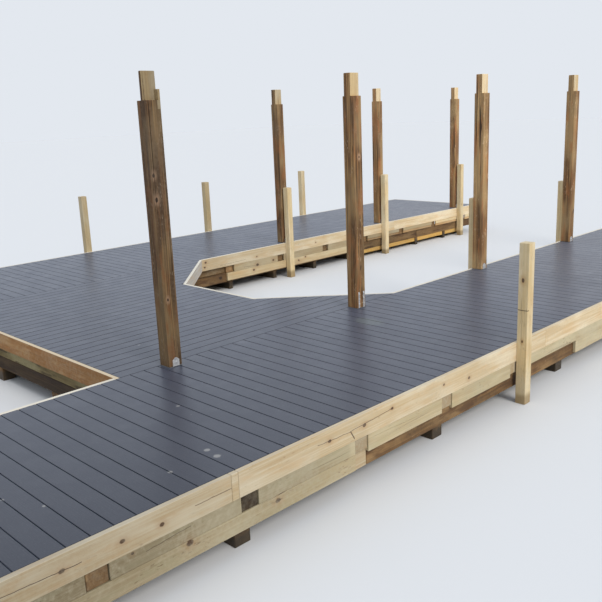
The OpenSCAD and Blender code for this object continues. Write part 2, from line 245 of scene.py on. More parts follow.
# Bars that fill boxes, with the grain along one axis.
def boxBars(name, boxes, axis, materials, radius=0.003, step=0.3, waver=0.0, **more):
    i = "xyz".index(axis)
    low, high = boxes[:, 0], boxes[:, 1]
    size = high - low
    origin = (low + high) / 2
    origin[:, i] = low[:, i]
    wide, tall = {"x": (1, 2), "y": (0, 2), "z": (0, 1)}[axis]
    up = (0, 1, 0) if axis == "z" else (0, 0, 1)
    stations, bounds = plain(size[:, i], size[:, wide], size[:, tall], radius, step, waver)
    return bars(name, origin, np.eye(3)[i], up, stations, bounds, materials, radius=radius, **more)


# Shader building

# A node's output, which takes plus, minus and times as nodes of its own tree.
class Wire:
    def __init__(self, socket):
        self.socket = socket
        self.tree = socket.id_data

    def __add__(self, other):
        return calc("ADD", self, other)

    def __radd__(self, other):
        return calc("ADD", other, self)

    def __sub__(self, other):
        return calc("SUBTRACT", self, other)

    def __rsub__(self, other):
        return calc("SUBTRACT", other, self)

    def __mul__(self, other):
        return calc("MULTIPLY", self, other)


# The tree of the first wire among some values.
def treeOf(*values):
    return next(value.tree for value in values if isinstance(value, Wire))


# Links a wire to an input, or sets the input's value.
def join(value, socket):
    if isinstance(value, Wire):
        value.tree.links.new(value.socket, socket)
    else:
        socket.default_value = value


# One node with its inputs set or linked.
def add(tree, kind, inputs=None, **props):
    node = tree.nodes.new(kind)
    for key, value in props.items():
        setattr(node, key, value)
    for key, value in (inputs or {}).items():
        join(value, node.inputs[key])
    return node


def calc(operation, a, b=0.0, clamp=False):
    node = add(treeOf(a, b), "ShaderNodeMath", {0: a, 1: b}, operation=operation, use_clamp=clamp)
    return Wire(node.outputs[0])


# Vector arithmetic; for SCALE the second value is the factor.
def vec(operation, a, b=(0, 0, 0)):
    second = "Scale" if operation == "SCALE" else 1
    node = add(a.tree, "ShaderNodeVectorMath", {0: a, second: b}, operation=operation)
    return Wire(node.outputs["Value" if operation in ("LENGTH", "DOT_PRODUCT") else "Vector"])


# Noise of a coordinate. A scale with three numbers draws it out by axis.
def noise(coord, scale, detail=3.0, rough=0.5, output="Fac"):
    if isinstance(scale, tuple):
        coord = vec("MULTIPLY", coord, scale)
        scale = 1.0
    inputs = {"Vector": coord, "Scale": scale, "Detail": detail, "Roughness": rough}
    return Wire(add(coord.tree, "ShaderNodeTexNoise", inputs).outputs[output])


# Cells scattered through space: the distance to the nearest middle, and a random value for that cell.
def cells(coord, scale, channel):
    node = add(coord.tree, "ShaderNodeTexVoronoi", {"Vector": coord, "Scale": scale})
    parts = add(coord.tree, "ShaderNodeSeparateColor", {"Color": Wire(node.outputs["Color"])})
    return Wire(node.outputs["Distance"]), Wire(parts.outputs[channel])


# Eases a value from 0 at low to 1 at high.
def ease(value, low, high):
    inputs = {"Value": value, "From Min": low, "From Max": high, "To Min": 0.0, "To Max": 1.0}
    node = add(value.tree, "ShaderNodeMapRange", inputs, interpolation_type="SMOOTHSTEP")
    return Wire(node.outputs["Result"])


def mix(fac, a, b):
    a, b = ((*value, 1.0) if isinstance(value, tuple) else value for value in (a, b))
    return Wire(add(treeOf(fac, a), "ShaderNodeMix", {0: fac, 6: a, 7: b}, data_type="RGBA").outputs[2])


def split(vector):
    node = add(vector.tree, "ShaderNodeSeparateXYZ", {"Vector": vector})
    return [Wire(node.outputs[key]) for key in "XYZ"]


def objectPlace(tree):
    return Wire(add(tree, "ShaderNodeTexCoord").outputs["Object"])


def attribute(tree, name, output="Fac"):
    return Wire(add(tree, "ShaderNodeAttribute", attribute_name=name).outputs[output])


# A shader group with named inputs and outputs. Build gets the inputs and gives back the outputs.
def group(name, inputs, build):
    tree = bpy.data.node_groups.new(name, "ShaderNodeTree")
    for key, value in inputs.items():
        kind = "NodeSocketVector" if value is None else "NodeSocketFloat"
        socket = tree.interface.new_socket(name=key, in_out="INPUT", socket_type=kind)
        if value is not None:
            socket.default_value = value
    source = tree.nodes.new("NodeGroupInput")
    results = build({key: Wire(source.outputs[key]) for key in inputs})
    for key in results:
        tree.interface.new_socket(name=key, in_out="OUTPUT", socket_type="NodeSocketFloat")
    target = tree.nodes.new("NodeGroupOutput")
    for key, wire in results.items():
        join(wire, target.inputs[key])
    return tree


def use(tree, shaderGroup, inputs):
    node = add(tree, "ShaderNodeGroup", inputs, node_tree=shaderGroup)
    return {key: Wire(socket) for key, socket in node.outputs.items()}


# Noises drawn out along the board, fine to broad, with their scale, detail and roughness.
grainNoises = {
    "Fibre": ((5.0, 420.0, 420.0), 3.0, 0.6),
    "Strand": ((1.8, 95.0, 95.0), 3.0, 0.55),
    "Band": ((0.8, 46.0, 46.0), 2.0, 0.5),
    "Streak": ((0.8, 24.0, 24.0), 3.0, 0.5),
    "Blotch": ((1.6, 5.0, 5.0), 2.0, 0.5),
}


# Sawn timber. The coordinate runs (along, across, through) in metres. Rings are the distance from a wandering
# pith, pushed aside by knots.
def buildTimber(inputs):
    place, splits = inputs["Coordinate"], inputs["Splits"]
    results = {name: noise(place, *settings) for name, settings in grainNoises.items()}
    bend = noise(place, (0.7, 4.0, 4.0), 2.0)
    warp = vec("SCALE", noise(place, 9.0, 1.0, output="Color"), 0.25)
    near, pick = cells(vec("ADD", vec("MULTIPLY", place, (2.3, 7.5, 3.0)), warp), 1.0, "Red")
    chosen = calc("GREATER_THAN", pick, inputs["Knot rarity"])
    size = pick * 0.12 + 0.02
    halo = (1.0 - ease(near, 0.0, size * 2.6 + 0.02)) * chosen
    x, y, z = split(place)
    y = y + (bend * 0.11 - 0.02)
    z = z + bend * 0.05
    saw = calc("FRACT", calc("SQRT", y * y + z * z) * inputs["Rings"] + halo * 1.6)
    stained = vec("ADD", vec("MULTIPLY", place, (2.4, 12.0, 12.0)), (7.0, 3.0, 5.0))
    flecks = ease(noise(place, (22.0, 120.0, 120.0), 2.0), 0.6, 0.68)
    # a split is a thin band where a drawn-out noise crosses its middle, only where another noise is high
    seam = calc("ABSOLUTE", noise(place, (0.3, 20.0, 20.0), 1.0) - 0.5)
    where = ease(noise(place, (0.8, 6.0, 6.0), 1.0), 1.0 - splits, 1.08 - splits)
    results["Rings"] = ease(saw, 0.25, 0.9) * (1.0 - ease(saw, 0.92, 1.0))
    results["Stain"] = noise(stained, 1.0, 3.0, 0.6)
    results["Fleck"] = flecks * ease(noise(place, (4.0, 11.0, 11.0), 2.0), 0.5, 0.64)
    results["Knot"] = (1.0 - ease(near, size * 0.7, size)) * chosen
    results["Halo"] = halo
    results["Split"] = (1.0 - ease(seam, 0.0015, 0.006)) * where
    return results


# Weathering: dirt is soft noise over fine noise, and wet is a ragged band above the lowest point.
def buildWeather(inputs):
    place, wetHeight = inputs["Position"], inputs["Wet height"]
    big = noise(place, 2.2)
    small = noise(place, 34.0, 3.0, 0.6)
    level = split(place)[2] + (big * 0.12 - 0.06)
    return {"Dirt": ease(small * 0.5 + big * 0.5, 0.42, 0.66) * inputs["Dirt"],
            "Wet": 1.0 - ease(level, wetHeight - 0.03, wetHeight + 0.04)}


# One knot at a known place: the distance from its centre along the axes that Spread keeps, a little ragged.
def buildKnot(inputs):
    place, size = inputs["Position"], inputs["Size"]
    offset = vec("MULTIPLY", vec("SUBTRACT", place, inputs["Centre"]), inputs["Spread"])
    far = vec("LENGTH", offset) * (0.75 + noise(place, 60.0, 2.0) * 0.5)
    return {"Knot": 1.0 - ease(far, size * 0.6, size), "Halo": 1.0 - ease(far, 0.0, size * 3.2)}


# One split between two places: the distance from the line between them, wavering slightly.
def buildSplit(inputs):
    place, width, flat = inputs["Position"], inputs["Width"], (1.0, 0.0, 1.0)
    waver = vec("SUBTRACT", noise(place, 14.0, 2.0, output="Color"), (0.5, 0.5, 0.5))
    moved = vec("ADD", place, vec("MULTIPLY", waver, (0.0, 0.0, 0.012)))
    spot = vec("MULTIPLY", vec("SUBTRACT", moved, inputs["From"]), flat)
    line = vec("MULTIPLY", vec("SUBTRACT", inputs["To"], inputs["From"]), flat)
    share = calc("DIVIDE", vec("DOT_PRODUCT", spot, line), vec("DOT_PRODUCT", line, line), clamp=True)
    far = vec("LENGTH", vec("SUBTRACT", spot, vec("SCALE", line, share)))
    return {"Split": 1.0 - ease(far, width * 0.5, width * 1.4)}


timberInputs = {"Coordinate": None, "Rings": 130.0, "Knot rarity": 0.6, "Splits": 0.42}
timberGroup = group("sawnTimber", timberInputs, buildTimber)
weatherGroup = group("weather", {"Position": None, "Wet height": 0.12, "Dirt": 0.4}, buildWeather)
knotGroup = group("placedKnot", {"Position": None, "Centre": None, "Spread": None, "Size": 0.02}, buildKnot)
splitGroup = group("placedSplit", {"Position": None, "From": None, "To": None, "Width": 0.002}, buildSplit)


def newMaterial(name):
    material = bpy.data.materials.new(name)
    material.use_nodes = True
    tree = material.node_tree
    tree.nodes.clear()
    out = tree.nodes.new("ShaderNodeOutputMaterial")
    shader = tree.nodes.new("ShaderNodeBsdfPrincipled")
    tree.links.new(shader.outputs[0], out.inputs[0])
    return material, tree, shader


def placedKnot(place, centre, spread, size):
    return use(place.tree, knotGroup, {"Position": place, "Centre": centre, "Spread": spread, "Size": size})


def bump(shader, height, strength, distance):
    node = add(height.tree, "ShaderNodeBump", {"Height": height, "Strength": strength, "Distance": distance})
    join(Wire(node.outputs["Normal"]), shader.inputs["Normal"])


# The coordinate of a carried-over node: object position with its axes in the order (along, across, through).
def nodeGrain(place, axis, shift):
    x, y, z = split(place)
    order = {"x": (x, z, y), "y": (y, z, x), "z": (z, x, y)}[axis]
    joined = add(place.tree, "ShaderNodeCombineXYZ", dict(enumerate(order))).outputs[0]
    return vec("ADD", Wire(joined), shift)


# The layers of a timber's colour in order: where a value eases in, and the look's colour it brings.
timberLayers = (
    ("Rings", None, "late"), ("Streak", (0.4, 0.64), "streak"), ("Band", (0.46, 0.58), "band"),
    ("Strand", (0.44, 0.6), "late"), ("Blotch", (0.42, 0.66), "blotch"), ("Stain", (0.5, 0.66), "stain"),
    ("Fibre", None, "late"), ("Fleck", None, "fleck"),
)


# A timber material from a dictionary of its look. Boards carry grain, tone and crack values; a CAD node is
# given an axis instead. Marks are knots (x, z, size), post knots (x, y, z, size) and splits (x, z, x, z, width)
# at known places.
def timberMaterial(name, look, axis=None, shift=(0, 0, 0), marks=None):
    material, tree, shader = newMaterial(name)
    marks = marks or {}
    place = objectPlace(tree)
    grain = nodeGrain(place, axis, shift) if axis else attribute(tree, "grain", "Vector")
    timber = use(tree, timberGroup, {"Coordinate": grain, "Rings": look["rings"],
                                     "Knot rarity": look["knotRarity"], "Splits": look["splits"]})
    weather = use(tree, weatherGroup, {"Position": place, "Wet height": look["wetHeight"],
                                       "Dirt": look["dirt"]})
    knot, halo, check, fringe = timber["Knot"], timber["Halo"], timber["Split"], 0.0
    for x, z, size in marks.get("knots", ()):
        placed = placedKnot(place, (x, 0, z), (0.75, 0.0, 1.0), size)
        knot = calc("MAXIMUM", knot, placed["Knot"])
        halo = calc("MAXIMUM", halo, placed["Halo"])
    for x, y, z, size in marks.get("postKnots", ()):
        placed = placedKnot(place, (x, y, z), (1.0, 1.0, 0.6), size)
        knot = calc("MAXIMUM", knot, placed["Knot"])
        fringe = calc("MAXIMUM", placed["Halo"], fringe)
    for x0, z0, x1, z1, width in marks.get("splits", ()):
        ends = {"Position": place, "From": (x0, 0, z0), "To": (x1, 0, z1), "Width": width}
        check = calc("MAXIMUM", check, use(tree, splitGroup, ends)["Split"])
    colour = look["early"]
    for layer, span, shade in timberLayers:
        value = ease(timber[layer], *span) if span else timber[layer]
        colour = mix(value * look[layer.lower() + "Strength"], colour, look[shade])
    colour = mix(halo * 0.5, colour, look["halo"])
    colour = mix(fringe * 0.8, colour, look["fringe"])
    colour = mix(knot, colour, look["knot"])
    if not axis:
        low, high = look["toneRange"]
        colour = vec("SCALE", colour, attribute(tree, "tone") * (high - low) + low)
        check = calc("MAXIMUM", check, ease(attribute(tree, "crack"), 0.02, 0.5))
    colour = mix(weather["Dirt"], colour, look["dirtColour"])
    topFace = ease(split(place)[2], deckTop - 0.004, deckTop - 0.001)
    colour = mix(topFace * look["topStrength"], colour, look["top"])
    colour = mix(check * 0.9, colour, look["split"])
    colour = mix(weather["Wet"] * look["wetStrength"], colour, look["wet"])
    join(colour, shader.inputs["Base Color"])
    join(look["roughness"] - weather["Wet"] * 0.3, shader.inputs["Roughness"])
    shader.inputs["Specular IOR Level"].default_value = 0.3
    bump(shader, timber["Fibre"] * 0.5 + timber["Strand"] * 0.7 - check * 2.0, look["bump"], 0.002)
    return material


print("shader groups ready")


# Decking

decking = {
    "gap": 0.007, "edge": 0.0025, "endGap": 0.0015, "fingerBoards": 99, "bridgeBoards": 26,
    "dark": (0.01, 0.01, 0.016),
    "light": (0.031, 0.031, 0.043),
    "pale": (0.054, 0.053, 0.066), "driftStrength": 0.35, "smudgeStrength": 0.4,
    "grit": (0.12, 0.122, 0.135), "gritStrength": 0.5,
    # painted sheen towards the lake, painted shade towards the bank
    "dust": (0.115, 0.103, 0.1), "paintedSheenStrength": 0.5, "shoreShadeStrength": 0.6,
    "speck": (0.42, 0.4, 0.36), "speckShare": 0.14, "speckStrength": 0.5,
    "green": (0.075, 0.09, 0.07), "greenStrength": 0.6,
    "gapShade": 0.25, "roughness": 0.36, "specular": 0.55, "sheen": 0.2,
    "blueSheen": (0.57, 0.7, 1.0), "blueGloss": (0.92, 0.96, 1.0),
    "specks": ((-5.198, -3.812, 0.020), (-4.842, -3.737, 0.026), (-4.857, -3.862, 0.030),
               (-4.490, -2.928, 0.018), (-3.760, -1.279, 0.018), (-6.078, -3.332, 0.014),
               (-5.944, -3.598, 0.014)),
    "smear": (-1.735, -2.56, 0.13),
}


# Board colour by board and along its length, brushed lines along the board, pale scuffs and small specks;
# painted sheen towards the lake, painted shade towards the bank and in the gaps between boards.
def deckMaterial():
    material, tree, shader = newMaterial("decking")
    grain = attribute(tree, "grain", "Vector")
    place = objectPlace(tree)
    placeX, placeY, placeZ = split(place)
    lines = noise(grain, (9.0, 110.0, 60.0), 4.0, 0.65)
    soft = noise(grain, (1.0, 9.0, 9.0))
    smudge = noise(place, 6.0, 4.0, 0.6)
    fac = attribute(tree, "tone") * 0.35 + (ease(lines, 0.3, 0.7) * 0.45 + soft * 0.2)
    # towards the lake the deck gets a paler painted sheen, and towards the bank painted shade: from x = 0 on
    # the near finger, and further out on the far one
    out = placeX - (placeY * 0.55 + 1.65) + soft * 0.8
    near, pick = cells(place, 7.0, "Green")
    speck = (1.0 - ease(near, 0.02, 0.05)) * calc("GREATER_THAN", pick, 1.0 - decking["speckShare"])
    for x, y, size in decking["specks"]:
        speck = calc("MAXIMUM", speck, placedKnot(place, (x, y, 0), (1.0, 1.0, 0.0), size)["Knot"])
    x, y, size = decking["smear"]
    smear = placedKnot(place, (x, y, 0), (1.0, 0.6, 0.0), size)["Knot"]
    colour = mix(fac, decking["dark"], decking["light"])
    for value, strength, shade in (
            (ease(noise(place, 0.9), 0.45, 0.75), "driftStrength", "pale"),
            (ease(smudge, 0.52, 0.75), "smudgeStrength", "pale"),
            (ease(noise(place, 85.0, 3.0, 0.7), 0.52, 0.68), "gritStrength", "grit"),
            # painted sheen towards the lake, painted shade towards the bank
            (ease(out, -0.4, 2.8), "paintedSheenStrength", "dust"),
            (ease(out * -1.0, 2.0, 4.6), "shoreShadeStrength", "dark"),
            (speck, "speckStrength", "speck"),
            (smear, "greenStrength", "green")):
        colour = mix(value * decking[strength], colour, decking[shade])
    lit = ease(placeZ, deckTop - 0.010, deckTop - 0.003) * (1.0 - decking["gapShade"]) + decking["gapShade"]
    join(vec("SCALE", colour, lit), shader.inputs["Base Color"])
    join(decking["roughness"] + (smudge - 0.5) * 0.25, shader.inputs["Roughness"])
    shader.inputs["Specular IOR Level"].default_value = decking["specular"]
    shader.inputs["Sheen Weight"].default_value = decking["sheen"]
    shader.inputs["Sheen Roughness"].default_value = 0.5
    shader.inputs["Sheen Tint"].default_value = (*decking["blueSheen"], 1.0)
    shader.inputs["Specular Tint"].default_value = (*decking["blueGloss"], 1.0)
    bump(shader, lines, 0.35, 0.0012)
    return material


# Boards across a finger: equal pitch along X, each a rounded board from edge to edge.
def fingerBoards(name, y0, y1, material):
    n, endGap = decking["fingerBoards"], decking["endGap"]
    pitch = (xLake - xShore) / n
    origin = np.stack([xShore + (np.arange(n) + 0.5) * pitch, np.full(n, y0 + endGap),
                       np.full(n, (deckTop + deckUnder) / 2)], 1)
    stations, bounds = plain(np.full(n, y1 - y0 - 2 * endGap), pitch - decking["gap"], deckTop - deckUnder,
                             decking["edge"], 2.0)
    return bars(name, origin, (0, 1, 0), (0, 0, 1), stations, bounds, [material], radius=decking["edge"])


# Boards along the bridge, running on over the corners. Where one is cut at 45 degrees it ends, on its middle
# line, at head + cut - distance from the nearer finger, with a mitre of one.
def bridgeBoards(material):
    n, endGap = decking["bridgeBoards"], decking["endGap"]
    pitch = (yFar - ySlip) / n
    y = ySlip + (np.arange(n) + 0.5) * pitch
    away = np.minimum(y - ySlip, yFar - y)
    cut = away < cornerCut + pitch / 2
    origin = np.stack([np.full(n, xBridge + endGap), y, np.full(n, (deckTop + deckUnder) / 2)], 1)
    length = xHead - xBridge + np.maximum(cornerCut - away, 0) - 2.5 * endGap
    towards = np.where(y < (ySlip + yFar) / 2, -1.0, 1.0)
    slope = np.where(cut & (length > xHead - xBridge), towards, 0.0)
    stations, bounds = plain(length, pitch - decking["gap"], deckTop - deckUnder, decking["edge"], 3.0)
    return bars("bridgeBoards", origin, (1, 0, 0), (0, 0, 1), stations, bounds, [material],
                radius=decking["edge"], mitre=np.stack([np.zeros(n), slope], 1))


deckLook = deckMaterial()
nearBoards = fingerBoards("nearBoards", yNear, ySlip, deckLook)
farBoards = fingerBoards("farBoards", yFar, yOut, deckLook)
bridgeSet = bridgeBoards(deckLook)
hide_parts("near_deck")
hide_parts("far_deck")
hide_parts("bridge_deck", "corner_decks")
print("decking laid")


# Timber looks, colours as linear values

paleLook = {
    "early": (0.59, 0.505, 0.35), "late": (0.4, 0.28, 0.15), "ringsStrength": 0.38,
    "streak": (0.47, 0.365, 0.21), "streakStrength": 0.6, "band": (0.44, 0.31, 0.16), "bandStrength": 0.45,
    "strandStrength": 0.4, "blotch": (0.67, 0.61, 0.47), "blotchStrength": 0.5,
    "stain": (0.5, 0.32, 0.15), "stainStrength": 0.4, "fibreStrength": 0.3,
    "fleck": (0.17, 0.1, 0.05), "fleckStrength": 0.35, "halo": (0.36, 0.2, 0.09), "fringe": (0.42, 0.25, 0.1),
    "knot": (0.085, 0.042, 0.02), "dirtColour": (0.4, 0.36, 0.26), "dirt": 0.25, "top": (0.74, 0.7, 0.6),
    "topStrength": 0.0, "split": (0.07, 0.045, 0.03), "wet": (0.2, 0.15, 0.09), "wetHeight": -1.0,
    "wetStrength": 0.7, "toneRange": (0.72, 1.12), "rings": 130.0, "knotRarity": 0.62, "splits": 0.36,
    "roughness": 0.72, "bump": 0.6,
}
rimLook = dict(paleLook, topStrength=0.85)
lowerLook = dict(
    paleLook, early=(0.49, 0.41, 0.26), late=(0.32, 0.24, 0.13), streak=(0.37, 0.31, 0.18),
    blotch=(0.53, 0.48, 0.33), band=(0.35, 0.27, 0.15), stain=(0.39, 0.345, 0.205), stainStrength=0.55,
    fleckStrength=0.7, dirt=0.4, toneRange=(0.5, 1.4))
stainedLook = dict(
    rimLook, early=(0.33, 0.155, 0.05), late=(0.18, 0.08, 0.025), streak=(0.24, 0.12, 0.035),
    band=(0.26, 0.14, 0.05), blotch=(0.36, 0.21, 0.075), top=(0.66, 0.56, 0.4))
greyLook = dict(
    rimLook, early=(0.5, 0.47, 0.43), late=(0.37, 0.33, 0.28), streak=(0.42, 0.38, 0.33),
    band=(0.38, 0.35, 0.3), blotch=(0.56, 0.55, 0.53))
joistLook = dict(
    paleLook, early=(0.34, 0.27, 0.16), late=(0.22, 0.15, 0.08), streak=(0.25, 0.18, 0.1),
    blotch=(0.3, 0.25, 0.16))
greenLook = dict(
    paleLook, early=(0.28, 0.225, 0.09), late=(0.14, 0.09, 0.032), streak=(0.15, 0.1, 0.036),
    blotch=(0.38, 0.335, 0.175), band=(0.13, 0.09, 0.035), ringsStrength=0.1, strandStrength=0.2,
    blotchStrength=0.9, stain=(0.06, 0.04, 0.018), stainStrength=0.95, dirtColour=(0.055, 0.038, 0.018),
    toneRange=(0.75, 0.85))
beamLook = dict(
    paleLook, early=(0.23, 0.135, 0.055), late=(0.12, 0.065, 0.028), streak=(0.17, 0.095, 0.04),
    blotch=(0.28, 0.17, 0.08), band=(0.14, 0.08, 0.034), knotRarity=0.8, toneRange=(0.2, 2.0), dirt=0.15)
newBeamLook = dict(
    paleLook, early=(0.56, 0.48, 0.33), streak=(0.5, 0.38, 0.23), toneRange=(0.5, 0.95), dirt=0.15)
cribLook = dict(
    paleLook, early=(0.26, 0.145, 0.052), late=(0.08, 0.04, 0.017), streak=(0.12, 0.062, 0.025),
    blotch=(0.33, 0.21, 0.095), band=(0.07, 0.038, 0.016), bandStrength=0.6, blotchStrength=0.65,
    stain=(0.08, 0.036, 0.015), stainStrength=0.75, fleck=(0.4, 0.27, 0.15), halo=(0.09, 0.05, 0.028),
    knot=(0.03, 0.018, 0.012), dirtColour=(0.06, 0.042, 0.024), split=(0.015, 0.01, 0.008),
    wet=(0.03, 0.026, 0.018), dirt=0.5, ringsStrength=0.5, wetHeight=0.1, wetStrength=0.8, roughness=0.75,
    bump=0.8)
# painted shade: the crib timbers under the bridge are drawn darker for the shade they stand in
shadedCribLook = dict(cribLook, dirt=0.1, toneRange=(0.2, 0.36))
railLook = dict(
    paleLook, early=(0.78, 0.48, 0.13), late=(0.48, 0.26, 0.06), streak=(0.6, 0.35, 0.09),
    blotch=(0.72, 0.5, 0.19), band=(0.5, 0.29, 0.07), dirt=0.1, wetHeight=0.02)
oldStripLook = dict(
    paleLook, early=(0.38, 0.24, 0.11), late=(0.18, 0.1, 0.04), streak=(0.26, 0.15, 0.06),
    blotch=(0.42, 0.3, 0.16), band=(0.2, 0.11, 0.045), toneRange=(0.6, 1.4))
tallLook = dict(
    paleLook, early=(0.35, 0.205, 0.083), late=(0.07, 0.034, 0.014), streak=(0.155, 0.07, 0.024),
    blotch=(0.43, 0.3, 0.142), band=(0.06, 0.03, 0.012), bandStrength=0.85, stain=(0.27, 0.105, 0.033),
    stainStrength=0.6, fleck=(0.5, 0.38, 0.26), fleckStrength=0.6, fringe=(0.46, 0.29, 0.18),
    halo=(0.12, 0.06, 0.03), knot=(0.035, 0.018, 0.01), dirtColour=(0.2, 0.15, 0.1),
    split=(0.01, 0.007, 0.005), rings=58.0, ringsStrength=0.85, streakStrength=0.75, strandStrength=0.5,
    blotchStrength=0.45, toneRange=(0.5, 1.5), splits=0.5, bump=0.9, roughness=0.7, knotRarity=0.6)
cutLook = dict(
    paleLook, early=(0.66, 0.5, 0.26), streak=(0.56, 0.4, 0.2), toneRange=(0.35, 1.15), knotRarity=0.9,
    dirt=0.15)
mooringLook = dict(
    paleLook, early=(0.73, 0.605, 0.385), late=(0.5, 0.36, 0.17), streak=(0.61, 0.45, 0.23),
    blotch=(0.73, 0.66, 0.49), band=(0.52, 0.38, 0.17), wet=(0.24, 0.16, 0.07), wetHeight=0.1,
    wetStrength=0.75, splits=0.34, toneRange=(0.55, 1.15))

# knots and splits that show in the photograph, at their own places
nearRimMarks = {
    "knots": [(-6.135, 0.503, 0.017), (-5.767, 0.507, 0.016), (-5.503, 0.494, 0.016), (-4.070, 0.512, 0.015),
              (-3.690, 0.506, 0.018), (-3.358, 0.535, 0.014), (-2.285, 0.480, 0.016), (-2.664, 0.527, 0.012)],
    "splits": [(-6.75, 0.525, -6.02, 0.500, 0.0022), (-5.26, 0.510, -4.978, 0.511, 0.0018),
               (-4.192, 0.517, -3.857, 0.507, 0.0018), (-3.857, 0.507, -3.358, 0.535, 0.0020),
               (-3.845, 0.507, -3.805, 0.440, 0.0045)],
}
farRimMarks = {
    "knots": [(-0.488, 0.548, 0.020), (-0.511, 0.472, 0.017), (0.593, 0.470, 0.014), (2.02, 0.50, 0.013)],
    "splits": [(-0.2, 0.452, 0.35, 0.462, 0.0016)],
}
farLowerMarks = {
    "knots": [(0.603, 0.329, 0.028), (0.517, 0.256, 0.022), (0.969, 0.350, 0.020), (1.75, 0.280, 0.016)],
    "splits": [(0.30, 0.335, 0.60, 0.329, 0.0016)],
}
nearLowerMarks = {
    "knots": [(-5.316, 0.285, 0.024), (-4.585, 0.262, 0.021), (-5.710, 0.400, 0.010)],
    "splits": [(-5.62, 0.372, -5.30, 0.392, 0.0016)],
}
tallMarks = {
    "postKnots": [(-3.985, -2.124, 2.312, 0.014), (-3.977, -2.124, 2.106, 0.017),
                  (-3.949, -2.124, 1.223, 0.011), (-4.028, -2.124, 1.374, 0.010),
                  (-1.418, -2.117, 3.068, 0.012), (-1.418, -2.129, 2.996, 0.013),
                  (1.30, -2.124, 1.86, 0.013), (-1.331, -2.124, 2.286, 0.012)],
}
mooringMarks = {
    "postKnots": [(-1.48, -4.192, 1.205, 0.016), (-1.48, -4.20, 0.62, 0.010)],
    "splits": [(-1.50, 0.920, -1.46, 0.921, 0.0035)],
}


# Rims

# tones are a table of places along X and how pale the board is drawn there, on the near rim its own
# paleness with painted shade that deepens towards the bank; slip joints are metres from the corner
rims = {
    "edge": 0.003, "jointHalf": 0.0006,
    "nearJoints": (-4.973, -4.915, -0.908, 3.97), "farJoints": (-3.3, 1.55, 6.4),
    "nearSlipJoint": 3.2, "farSlipJoint": 4.88,
    "nearTonesAndShade": ((-7.25, -5.9, -4.98, -4.96, -3.6, -1.5, 1.0), (0.02, 0.20, 0.36, 0.46, 0.66, 0.80, 0.86)),
    "farTones": ((-0.6, 1.0, 2.0, 4.2, 5.5), (0.45, 0.50, 0.68, 0.74, 0.86)),
}
fineCracks = dict(cracks=1, crackWide=0.0016, crackDeep=0.004, crackLong=0.5, crackShare=0.35)
roughCracks = dict(cracks=2, crackWide=0.004, crackDeep=0.008, crackLong=0.8, crackShare=0.5)
postCracks = dict(cracks=3, crackWide=0.005, crackDeep=0.012, crackLong=0.9, crackShare=0.75)
mooringCracks = dict(cracks=1, crackWide=0.0025, crackDeep=0.006, crackLong=0.5, crackShare=0.5)
made = {}


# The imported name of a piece, such as near_outer_rim for nearOuterRim.
def packedName(name):
    return "".join(letter if letter.islower() else "_" + letter.lower() for letter in name)


# Notes a piece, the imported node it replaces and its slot.
def keep(piece, slotName, nodeName=None):
    made[piece.name] = (piece, nodeName or packedName(piece.name), slotName)


# the near rim's own paleness, with painted shade towards the bank
def nearRimTone(x, z):
    return np.interp(x, *rims["nearTonesAndShade"])


def farRimTone(x, z):
    return np.interp(x, *rims["farTones"])


# A rim board with mitred ends. The line runs along the deck's edge; u goes from there to the outer face.
def mitredRim(name, start, end, outward, material, slopes, tone, joints):
    start, end = np.array((*start, midRim)), np.array((*end, midRim))
    length = np.linalg.norm(end - start)
    along = (end - start) / length
    edges = [0.0, *joints, length]
    count = len(edges) - 1
    before = [rims["jointHalf"] if k else 0 for k in range(count)]
    after = [rims["jointHalf"] if k < count - 1 else 0 for k in range(count)]
    origin = np.array([start + along * (edges[k] + before[k]) for k in range(count)])
    lengths = np.array([edges[k + 1] - edges[k] - before[k] - after[k] for k in range(count)])
    mitre = np.zeros((count, 2))
    mitre[0, 0], mitre[-1, 1] = slopes
    stations, bounds = plain(lengths, rimThick, deckTop - rimUnder, rims["edge"], 0.3,
                             offset=outward * rimThick / 2)
    return bars(name, origin, along, (0, 0, 1), stations, bounds, [material], radius=rims["edge"],
                mitre=mitre, tone=tone, **dict(fineCracks, crackWide=0.0015, crackShare=0.5))


midRim = (deckTop + rimUnder) / 2
slopeMitre = math.tan(math.pi / 8)
cornerX = xHead + cornerCut
rimMaterial = timberMaterial("rimTimber", rimLook)
stainedRim = timberMaterial("stainedRimTimber", stainedLook)
greyRim = timberMaterial("greyRimTimber", greyLook)
nearRimLook = dict(rimLook, knotRarity=0.93, splits=0.28, toneRange=(0.5, 1.4), topStrength=0.2)
nearRimMaterial = timberMaterial("nearRimTimber", nearRimLook, marks=nearRimMarks)
farRimLook = dict(rimLook, knotRarity=0.85, toneRange=(0.5, 1.6))
farRimMaterial = timberMaterial("farRimTimber", farRimLook, marks=farRimMarks)
for name, axis, joints, material, slotName, more in (
        ("nearOuterRim", "x", rims["nearJoints"], nearRimMaterial, "rim_board", {"tone": nearRimTone}),
        ("farOuterRim", "x", rims["farJoints"], rimMaterial, "rim_board", fineCracks),
        ("shoreGapRims", "x", (), rimMaterial, "rim_board", fineCracks),
        ("endRims", "y", (), rimMaterial, "rim_board", fineCracks),
        ("bridgeShoreRim", "y", (), stainedRim, "rim_board_stained", dict(fineCracks, tone=0.8))):
    keep(boxBars(name, cutBoxes(solidBoxes(packedName(name)), joints), axis, [material], **more), slotName)
